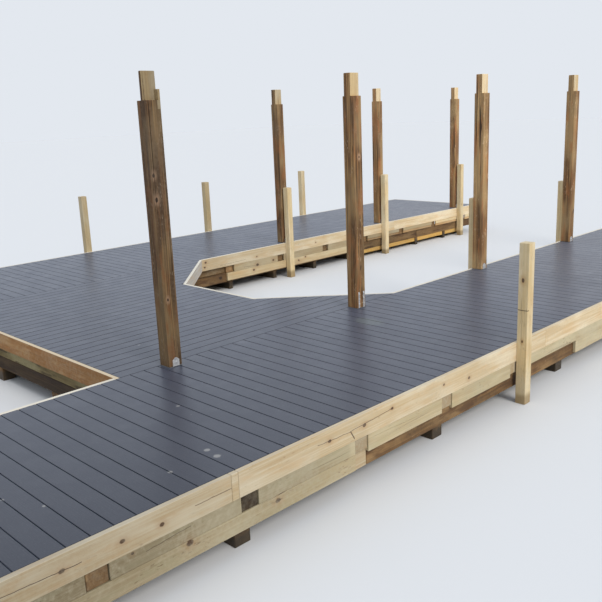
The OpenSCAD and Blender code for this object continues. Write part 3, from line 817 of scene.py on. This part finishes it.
for name, start, end, outward, material, slopes, tone, joints in (
        ("nearSlipRim", (cornerX, ySlip), (xLake, ySlip), 1, rimMaterial, (slopeMitre, 0), 0.7,
         (rims["nearSlipJoint"],)),
        ("farSlipRim", (cornerX, yFar), (xLake, yFar), -1, farRimMaterial, (-slopeMitre, 0), farRimTone,
         (rims["farSlipJoint"],)),
        ("headRim", (xHead, ySlip + cornerCut), (xHead, yFar - cornerCut), -1, rimMaterial,
         (-slopeMitre, slopeMitre), 0.6, ())):
    keep(mitredRim(name, start, end, outward, material, slopes, tone, joints), "rim_board")
print("long rims made")

# the two 45 degree rims of the head, one piece
diag = math.sqrt(0.5)
starts = np.array([[cornerX, ySlip, midRim], [xHead, yFar - cornerCut, midRim]])
alongs = np.array([[-diag, diag, 0], [diag, diag, 0]])
stations, bounds = plain(np.full(2, cornerCut * math.sqrt(2)), rimThick, deckTop - rimUnder, rims["edge"],
                         0.3, offset=-rimThick / 2)
cornerRims = bars("cornerRims", starts, alongs, (0, 0, 1), stations, bounds, [greyRim], radius=rims["edge"],
                  mitre=np.tile([-slopeMitre, slopeMitre], (2, 1)), tone=(0.7, 0.85), **fineCracks)
keep(cornerRims, "rim_board")


# Lower boards and what carries the deck

lower = {
    "seam": 0.0012, "edge": 0.003, "lowLevel": 0.301, "notchHalf": 0.075, "shortest": 0.02,
    # near tones: the boards' own paleness with painted shade that deepens towards the bank
    "nearTonesAndShade": ((-7.25, -6.0, -5.6, -5.1, -4.7, -4.3, -3.95, -3.4, -2.2, 2.0),
                  (0.02, 0.08, 0.14, 0.29, 0.33, 0.40, 0.52, 0.72, 0.66, 0.74)),
    "farTones": ((0.0, 3.0), (0.55, 0.60)),
    "shortDrop": 0.14, "shortDropEnd": -3.85, "farShortDrop": 0.30,
    "farStripLevel": 0.356, "stripTopGap": 0.003, "stripSeam": 0.002, "underStripBack": 0.010,
    "upperStripTones": (0.6, 0.2, 0.35, 1.0, 1.0),
    "underStripTones": (1.1, 0.45, 0.85, 1.5, 1.5),
}


# A lower board is two: one along the bottom, and short ones above it between the beams' notches.
def lowerBoards(name, beamX, material, tone):
    boxes = []
    half = lower["notchHalf"]
    for low, high in solidBoxes(packedName(name)):
        a, b = low.copy(), high.copy()
        b[2] = lower["lowLevel"] - lower["seam"] / 2
        boxes.append([a, b])
        inside = [x for x in beamX if low[0] < x < high[0]]
        edges = [low[0], *[v for x in inside for v in (x - half, x + half)], high[0]]
        for k in range(0, len(edges), 2):
            if edges[k + 1] - edges[k] > lower["shortest"]:
                a, b = low.copy(), high.copy()
                a[2] = lower["lowLevel"] + lower["seam"] / 2
                a[0], b[0] = edges[k], edges[k + 1]
                boxes.append([a, b])
    return boxBars(name, np.array(boxes), "x", [material], radius=lower["edge"], tone=tone,
                   **dict(fineCracks, crackWide=0.0015, crackShare=0.3))


# Tone of the lower boards: read off the table by X, less on the short boards above the notches' foot.
# On the near finger the table holds the boards' own paleness with painted shade towards the bank.
def nearTone(x, z):
    short = (z > lower["lowLevel"]) & (x < lower["shortDropEnd"])
    return np.interp(x, *lower["nearTonesAndShade"]) - lower["shortDrop"] * short


def farTone(x, z):
    return np.interp(x, *lower["farTones"]) - lower["farShortDrop"] * (z > lower["lowLevel"])


nearBeamX = sorted(solidBoxes("near_beams").mean(1)[:, 0])
farBeamX = sorted(solidBoxes("far_beams").mean(1)[:, 0])
lowerMaterial = timberMaterial("lowerTimber", lowerLook)
nearLowerMaterial = timberMaterial("nearLowerTimber", dict(lowerLook, knotRarity=0.9), marks=nearLowerMarks)
farLowerLook = dict(paleLook, early=(0.56, 0.46, 0.27), blotch=(0.62, 0.55, 0.38), knotRarity=0.85,
                    toneRange=(0.5, 1.4))
farLowerMaterial = timberMaterial("farLowerTimber", farLowerLook, marks=farLowerMarks)
oldStripMaterial = timberMaterial("oldStripTimber", oldStripLook)
for name, beamX, material, tone in (
        ("nearLowerBoards", nearBeamX, nearLowerMaterial, nearTone),
        ("farSlipLowerBoard", farBeamX, farLowerMaterial, farTone),
        ("farOuterLowerBoards", farBeamX, lowerMaterial, None),
        ("nearSlipLowerBoards", nearBeamX, lowerMaterial, None)):
    keep(lowerBoards(name, beamX, material, tone), "lower_board")

# the strips on the berth's far side are two boards each: a pale one above and an old brown one below
stripBoxes = solidBoxes("rim_strips")
upperStrips = stripBoxes[stripBoxes[:, 0, 1] > 0]
underStrips = upperStrips.copy()
upperStrips[:, 0, 2] = lower["farStripLevel"]
upperStrips[:, 1, 2] -= lower["stripTopGap"]
underStrips[:, 1, 2] = lower["farStripLevel"] - lower["stripSeam"]
underStrips[:, 0, 1] += lower["underStripBack"]
for name, boxes, material, tone in (
        ("nearStrips", stripBoxes[stripBoxes[:, 0, 1] < 0], lowerMaterial, nearTone),
        ("farStrips", upperStrips, farLowerMaterial, lower["upperStripTones"]),
        ("farUnderStrips", underStrips, oldStripMaterial, lower["underStripTones"])):
    keep(boxBars(name, boxes, "x", [material], tone=tone, **fineCracks), "lower_board", "rim_strips")

# how pale each cross beam's timber is, from the bank to the lake; four of the near ones are new timber, and
# one short one is drawn out to fill its notch as the others do
beams = {
    "near": (0.4, 0.30, -0.01, 0.42, 0.5, 0.72, 1.5, 0.4, 0.3, 0.6, 0.5, 0.4, 0.6),
    "far": (0.4, 0.5, 0.3, 0.6, 0.5, 0.4, 0.55, 0.28, 0.26, 0.45, 0.6, 0.4, 0.5),
    "new": (3, 4, 5, 6), "newReach": 0.2, "drawnOut": 2,
}
# the near crib's outer timber is patched with new wood under the third beam; an old timber packs the space
# between two of the far beams, under the corner of the berth
crib = {
    "nearJoints": (-3.785, -3.630, 0.9, 5.1), "farJoints": (-4.2, 0.9, 5.1), "jointGap": 0.004,
    "patchX": -3.7075, "patchHalf": 0.079, "patchSide": -3.5,
    "fillBeams": (5, 6), "fillClear": 0.071, "fillDepths": (0.004, 0.042), "fillLevels": (0.3025, 0.4145),
}
newBeamX = np.array(nearBeamX)[list(beams["new"])]


def nearBeamTone(x, z):
    return np.interp(x, nearBeamX, beams["near"])


def farBeamTone(x, z):
    return np.interp(x, farBeamX, beams["far"])


def newBeamFaces(middle, normal):
    return np.abs(middle[:, :1] - newBeamX).min(1) < beams["newReach"]


def patchFaces(middle, normal):
    return (np.abs(middle[:, 0] - crib["patchX"]) < crib["patchHalf"]) & (middle[:, 1] < crib["patchSide"])


cribMaterial = timberMaterial("cribTimber", cribLook)
beamMaterial = timberMaterial("beamTimber", beamLook)
newBeamMaterial = timberMaterial("newBeamTimber", newBeamLook)
greenMaterial = timberMaterial("greenTimber", greenLook)
# painted shade on the crib under the bridge
shadedCribMaterial = timberMaterial("dampCribTimber", shadedCribLook)
railMaterial = timberMaterial("railTimber", railLook)
for name, axis, material, slotName, edge, joints, tone, newFaces in (
        ("nearBeams", "y", beamMaterial, "beam_end", 0.004, (), nearBeamTone, newBeamFaces),
        ("farBeams", "y", beamMaterial, "beam_end", 0.004, (), farBeamTone, None),
        ("bridgeBeams", "y", greenMaterial, "green_beam", 0.004, (), None, None),
        ("nearCribTimbers", "x", cribMaterial, "crib_timber", 0.006, crib["nearJoints"], None, patchFaces),
        ("farCribTimbers", "x", cribMaterial, "crib_timber", 0.006, crib["farJoints"], None, None),
        ("bridgeCribTimbers", "y", shadedCribMaterial, "crib_timber", 0.006, (), None, None),
        ("nearTies", "y", cribMaterial, "crib_timber", 0.005, (), None, None),
        ("farTies", "y", cribMaterial, "crib_timber", 0.005, (), None, None),
        ("bridgeLegs", "z", cribMaterial, "crib_timber", 0.005, (), None, None),
        ("farLowRails", "x", railMaterial, "low_rail", 0.005, (), None, None)):
    boxes = cutBoxes(solidBoxes(packedName(name)), joints, crib["jointGap"])
    if name == "nearBeams":
        boxes[beams["drawnOut"], 0, 1] = boxes[:, 0, 1].min()
    timbers = [material, newBeamMaterial] if newFaces else [material]
    keep(boxBars(name, boxes, axis, timbers, radius=edge, step=0.25, waver=0.0015, tone=tone,
                 faceMaterial=newFaces, **roughCracks), slotName)
for nodeName, axis, shift in (
        ("near_joists", "x", (2.0, 0.2, 0.1)), ("far_joists", "x", (4.0, 0.2, 0.2)),
        ("bridge_joists", "y", (6.0, 0.2, 0.3)), ("corner_joists", "y", (8.0, 0.2, 0.1))):
    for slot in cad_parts[nodeName].material_slots:
        slot.link = "OBJECT"
        slot.material = timberMaterial(nodeName.replace("_joists", "JoistTimber"), joistLook, axis, shift)
print("lower boards, beams and crib made")


# Posts

posts = {
    "side": 0.14, "edge": 0.004, "tongue": 0.237, "plate": 0.006, "pith": 0.03,
    "shoulders": (0.030, 0.020), "deepShoulders": (0.052, 0.058),
    "lugHeight": 0.088, "lugLength": 0.020, "cleanWidth": 0.033, "cleanDrop": 0.075, "cleanRise": 0.0012,
    "tones": {"nearPost1": 0.15, "nearPost2": 0.85, "nearPost3": 1.3, "nearPost4": 1.0, "nearPost5": 0.9,
              "farPost1": 0.58, "farPost2": 1.05, "farPost3": 1.25},
}
tallMaterial = timberMaterial("tallPostTimber", tallLook, marks=tallMarks)
cutMaterial = timberMaterial("cutTimber", cutLook)


# A tall post. Up to the seat the section is the full square; there it steps in to the tongue at the same
# level, which leaves the two beam seats. Faces above the seat that were cut, and the seats, are fresh.
def tallPost(name):
    low, high = (np.array(c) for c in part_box(packedName(name)))
    h = posts["side"] / 2
    r = posts["edge"]
    front, back = posts["deepShoulders" if name == "nearPost1" else "shoulders"]
    centre = (low + high) / 2
    total = high[2] - low[2]
    seat = total - posts["tongue"]
    body = np.linspace(r, seat - r, 46)
    full = np.array([-h, h, -h, h])
    tongue = np.array([-h, h, -h + front, h - back])
    shrunk = full + np.array([0, 0, r, -r])
    endInset = np.array([r, -r, r, -r])
    top = np.linspace(seat + 0.02, total - r, 4)
    stations = np.concatenate([[0], body, [seat, seat], top, [total]])[None]
    rows = [full + endInset, *[full] * len(body), shrunk, tongue, *[tongue] * len(top), tongue + endInset]

    def fresh(middle, normal):
        above = middle[:, 2] > low[2] + seat - 0.001
        level = np.abs(normal[:, 2]) > 0.9 * np.linalg.norm(normal, axis=1)
        sawn = np.abs(normal[:, 1]) > 0.5 * np.linalg.norm(normal, axis=1)
        return above & (level | sawn)

    return bars(name, [[centre[0], centre[1], low[2]]], (0, 0, 1), (0, 1, 0), stations, np.array(rows)[None],
                [tallMaterial, cutMaterial], radius=r, tone=posts["tones"][name], faceMaterial=fresh,
                pith=posts["pith"], **postCracks)


for name in posts["tones"]:
    keep(tallPost(name), "tall_post")

# the lug left on the first post's seat, and the strip cleaned off below it
low, high = (np.array(c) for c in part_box("near_post_1"))
seatZ = high[2] - posts["tongue"]
lugBack = high[1] - posts["deepShoulders"][1] - 0.001
lugBoxes = np.array([
    [[high[0] - posts["lugLength"], low[1], seatZ - 0.0005], [high[0], lugBack, seatZ + posts["lugHeight"]]],
    [[high[0] - posts["cleanWidth"], low[1] - posts["cleanRise"], seatZ - posts["cleanDrop"]],
     [high[0] - 0.001, low[1] + 0.01, seatZ - 0.001]]])
lug = boxBars("firstPostLug", lugBoxes, "z", [cutMaterial], radius=0.001, step=0.05, tone=(0.22, 0.12))

mooringMaterial = timberMaterial("mooringTimber", mooringLook)
nearMooring = timberMaterial("nearMooringTimber", dict(mooringLook, knotRarity=0.85), marks=mooringMarks)
for name, material, pale in (
        ("nearOuterMoorings", nearMooring, 0.75), ("nearSlipMoorings", mooringMaterial, 1.0),
        ("farSlipMoorings", mooringMaterial, 0.85),
        ("farOuterMoorings", mooringMaterial, np.array([0.15, 0.30, 0.85, 0.85]))):
    nodeName = packedName(name)[:-1] + "_posts"
    boxes = solidBoxes(nodeName)
    tone = pale + rng.uniform(-0.1, 0.2, len(boxes))
    keep(boxBars(name, boxes, "z", [material], radius=0.004, step=0.08, pith=posts["pith"], tone=tone,
                 **mooringCracks), "mooring_post", nodeName)
print("posts made")

clear, depths, levels = crib["fillClear"], crib["fillDepths"], crib["fillLevels"]
fillFrom, fillTo = np.array(farBeamX)[list(crib["fillBeams"])] + (clear, -clear)
fillY = [yFar + rimThick + depth for depth in depths]
fillBox = np.array([[[fillFrom, fillY[0], levels[0]], [fillTo, fillY[1], levels[1]]]])
cornerFill = boxBars("cornerFill", fillBox, "x", [oldStripMaterial], tone=(0.0,), **roughCracks)


# Metal feet

feet = {
    "steel": (0.5, 0.51, 0.53), "white": (0.68, 0.68, 0.67), "dull": (0.36, 0.37, 0.39), "plateShade": 0.35,
    "metallic": 0.6, "edge": 0.0008, "earWidth": 0.072, "earShoulder": 0.06, "earPoint": 0.02,
    "earShift": 0.005, "earThick": 0.004, "earBevel": 0.004, "peakDrop": 0.003, "peakStep": 0.006,
    "boltShift": 0.009, "boltRise": 0.036, "strapWidth": 0.024, "strapHeight": 0.19, "strapBevel": 0.003,
    "strapPlaces": (-0.5, 0.64), "strapBolts": (0.05, 0.11, 0.165),
    "washer": ((0.0135, -0.001), (0.0135, 0.001), (0.0125, 0.0018), (0.006, 0.0018)),
    "bolt": ((0.0085, 0.001), (0.0085, 0.0055), (0.007, 0.0068), (0.002, 0.0068)),
}


# Zinc: pale spangles of two greys, dulled in soft patches. Shade darkens it for the dirty plates.
def zincMaterial(name, shade=1.0):
    material, tree, shader = newMaterial(name)
    place = objectPlace(tree)
    near, pick = cells(place, 160.0, "Red")
    patch = noise(place, 22.0)
    colour = mix(pick, feet["steel"], feet["white"])
    colour = mix(ease(patch, 0.5, 0.75), colour, feet["dull"])
    join(vec("SCALE", colour, shade), shader.inputs["Base Color"])
    join(patch * 0.25 + 0.38, shader.inputs["Roughness"])
    shader.inputs["Metallic"].default_value = feet["metallic"]
    bump(shader, pick, 0.15, 0.0004)
    return material


# An outline in X and Z that is the same left and right, from its right-hand points taken upwards.
def mirrored(points):
    points = np.array(points)
    return np.roll(np.concatenate([points, points[::-1] * (-1, 1)]), 1, 0)


# Flat plates: an outline in X and Z carried through a thickness in Y, its outer edges drawn in at both faces.
# Row k is centre + (outline - middle) * scale, at depth k.
def plates(outlines, depths, edge):
    outlines, depths = np.array(outlines), np.array(depths)
    middle = outlines.mean(1, keepdims=True)
    reach = np.abs(outlines - middle).max(1, keepdims=True)
    near, far = depths[:, 0, None], depths[:, 1, None]
    sign = np.sign(far - near)
    rows = []
    for depth, inset in ((near, edge), (near + sign * edge, 0), (far - sign * edge, 0), (far, edge)):
        flat = middle + (outlines - middle) * (1 - inset / reach)
        rows.append(np.stack([flat[..., 0], np.broadcast_to(depth, flat.shape[:2]), flat[..., 1]], -1))
    return np.stack(rows, 1)


# Round studs along Y: each ring has a radius and a depth, and as many points as given.
def studs(centres, sign, rings, points):
    angle = np.arange(points) * 2 * math.pi / points
    radius, depth = (np.array(part)[None, :, None] for part in zip(*rings))
    x = centres[:, 0, None, None] + radius * np.cos(angle)
    z = centres[:, 2, None, None] + radius * np.sin(angle)
    y = centres[:, 1, None, None] + sign[:, None, None] * depth + 0 * x
    return np.stack([x, y, z], -1)


# Joins several sets of tubes into one mesh.
def tubeSet(name, sets, material):
    parts = []
    for k, verts in enumerate(sets):
        quads, caps = tubeFaces(*verts.shape[:3])
        label = name + str(k) if k else name
        parts.append(meshObject(label, verts.reshape(-1, 3), quads, caps, {}, [material]))
    joined = bmesh.new()
    for part in parts:
        joined.from_mesh(part.data)
    bmesh.ops.recalc_face_normals(joined, faces=joined.faces)
    joined.to_mesh(parts[0].data)
    joined.free()
    for part in parts[1:]:
        bpy.data.objects.remove(part)
    return parts[0]


zinc = zincMaterial("zinc")
plateZinc = zincMaterial("plateZinc", feet["plateShade"])
h = posts["side"] / 2
w = feet["earWidth"] / 2
s = feet["strapWidth"] / 2
base = deckTop + posts["plate"]
shoulder = base + feet["earShoulder"]
peak = shoulder + feet["earPoint"]
strapTop = deckTop + feet["strapHeight"]
earOutline = mirrored([
    [w, deckTop], [w, shoulder - feet["earBevel"]], [w - feet["earBevel"], shoulder],
    [w / 3, peak - feet["peakDrop"]], [w / 3 - feet["peakStep"], peak]])
strapOutline = mirrored([
    [s, deckTop], [s, strapTop - feet["strapBevel"]], [s - feet["strapBevel"], strapTop]])
ears, earDepths, straps, strapDepths, boltPlaces, boltSigns, plateBoxes = [], [], [], [], [], [], []
for name in posts["tones"]:
    low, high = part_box(packedName(name))
    cx, cy = (low[0] + high[0]) / 2, (low[1] + high[1]) / 2
    plateBoxes.append([[cx - h, cy - h - feet["earThick"], deckTop],
                       [cx + h, cy + h + feet["earThick"], base]])
    for sign in (-1, 1):
        face = cy + sign * h
        depth = (face, face + sign * feet["earThick"])
        if name == "nearPost2":
            for place in feet["strapPlaces"]:
                straps.append(strapOutline + [cx + place * h, 0])
                strapDepths.append(depth)
                boltPlaces += [(cx + place * h, depth[1], deckTop + rise) for rise in feet["strapBolts"]]
                boltSigns += [sign] * len(feet["strapBolts"])
        else:
            ears.append(earOutline + [cx + feet["earShift"], 0])
            earDepths.append(depth)
            boltPlaces.append((cx + feet["boltShift"], depth[1], base + feet["boltRise"]))
            boltSigns.append(sign)
boltPlaces, boltSigns = np.array(boltPlaces), np.array(boltSigns, float)
footPlates = boxBars("footPlates", np.array(plateBoxes), "x", [plateZinc], radius=feet["edge"], step=0.2)
footEars = tubeSet("footEars", [
    plates(ears, earDepths, feet["edge"]), plates(straps, strapDepths, feet["edge"]),
    studs(boltPlaces, boltSigns, feet["washer"], 16), studs(boltPlaces, boltSigns, feet["bolt"], 6)], zinc)
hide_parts("post_feet")
print("feet made")

for piece, nodeName, slotName in made.values():
    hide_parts(nodeName)


# Camera, light and floor

camera = {
    "place": (-7.665, -7.561, 2.7752),
    "right": (0.7044, -0.7086, -0.0407),
    "forward": (0.6813, 0.6911, -0.2413),
    "focal": 756.2, "pixels": 602, "sensor": 36.0, "clipEnd": 500.0,
}
right = Vector(camera["right"]).normalized()
forward = Vector(camera["forward"]).normalized()
upward = right.cross(forward)
turn = Matrix((right, upward, -forward)).transposed()
camData = bpy.data.cameras.new("camera")
camData.sensor_fit = "HORIZONTAL"
camData.sensor_width = camera["sensor"]
camData.lens = camera["sensor"] * camera["focal"] / camera["pixels"]
camData.clip_end = camera["clipEnd"]
cam = bpy.data.objects.new("camera", camData)
cam.matrix_world = Matrix.Translation(camera["place"]) @ turn.to_4x4()
bpy.context.scene.collection.objects.link(cam)
bpy.context.scene.camera = cam

studio = {
    "sky": (0.8, 0.88, 1.0), "skyStrength": 0.85, "horizon": (1.0, 0.98, 0.95), "horizonEnd": 0.7,
    "shown": (0.768, 0.807, 0.863), "floor": (0.7, 0.71, 0.72), "floorHalf": 120, "floorRoughness": 0.9,
    "keyPower": 1.9, "keyTurn": (52, 0, -8), "keyAngle": 25, "keyColour": (1.0, 0.96, 0.9),
}
world = bpy.data.worlds.new("studio")
bpy.context.scene.world = world
world.use_nodes = True
sky = world.node_tree
sky.nodes.clear()
direction = Wire(add(sky, "ShaderNodeTexCoord").outputs["Generated"])
skyColour = mix(ease(split(direction)[2], 0.0, studio["horizonEnd"]), studio["horizon"], studio["sky"])
light = add(sky, "ShaderNodeBackground", {"Color": skyColour, "Strength": studio["skyStrength"]})
seen = add(sky, "ShaderNodeBackground", {"Color": (*studio["shown"], 1.0), "Strength": 1.0})
path = add(sky, "ShaderNodeLightPath").outputs
rays = [Wire(path[key]) for key in ("Is Camera Ray", "Is Glossy Ray", "Is Transmission Ray")]
direct = calc("MAXIMUM", rays[0], calc("MAXIMUM", rays[1], rays[2]))
chosen = add(sky, "ShaderNodeMixShader", {0: direct, 1: Wire(light.outputs[0]), 2: Wire(seen.outputs[0])})
add(sky, "ShaderNodeOutputWorld", {0: Wire(chosen.outputs[0])})

sunData = bpy.data.lights.new("key", "SUN")
sunData.energy = studio["keyPower"]
sunData.angle = math.radians(studio["keyAngle"])
sunData.color = studio["keyColour"]
sun = bpy.data.objects.new("key", sunData)
sun.rotation_euler = [math.radians(angle) for angle in studio["keyTurn"]]
bpy.context.scene.collection.objects.link(sun)

floorMesh = bpy.data.meshes.new("floor")
half = studio["floorHalf"]
floorCorners = [(-half, -half, 0), (half, -half, 0), (half, half, 0), (-half, half, 0)]
floorMesh.from_pydata(floorCorners, [], [(0, 1, 2, 3)])
floor = bpy.data.objects.new("floor", floorMesh)
bpy.context.scene.collection.objects.link(floor)
floorMaterial, tree, shader = newMaterial("floor")
shader.inputs["Base Color"].default_value = (*studio["floor"], 1)
shader.inputs["Roughness"].default_value = studio["floorRoughness"]
floorMesh.materials.append(floorMaterial)
bpy.context.scene.view_settings.view_transform = "Standard"
print("camera, light and floor set")
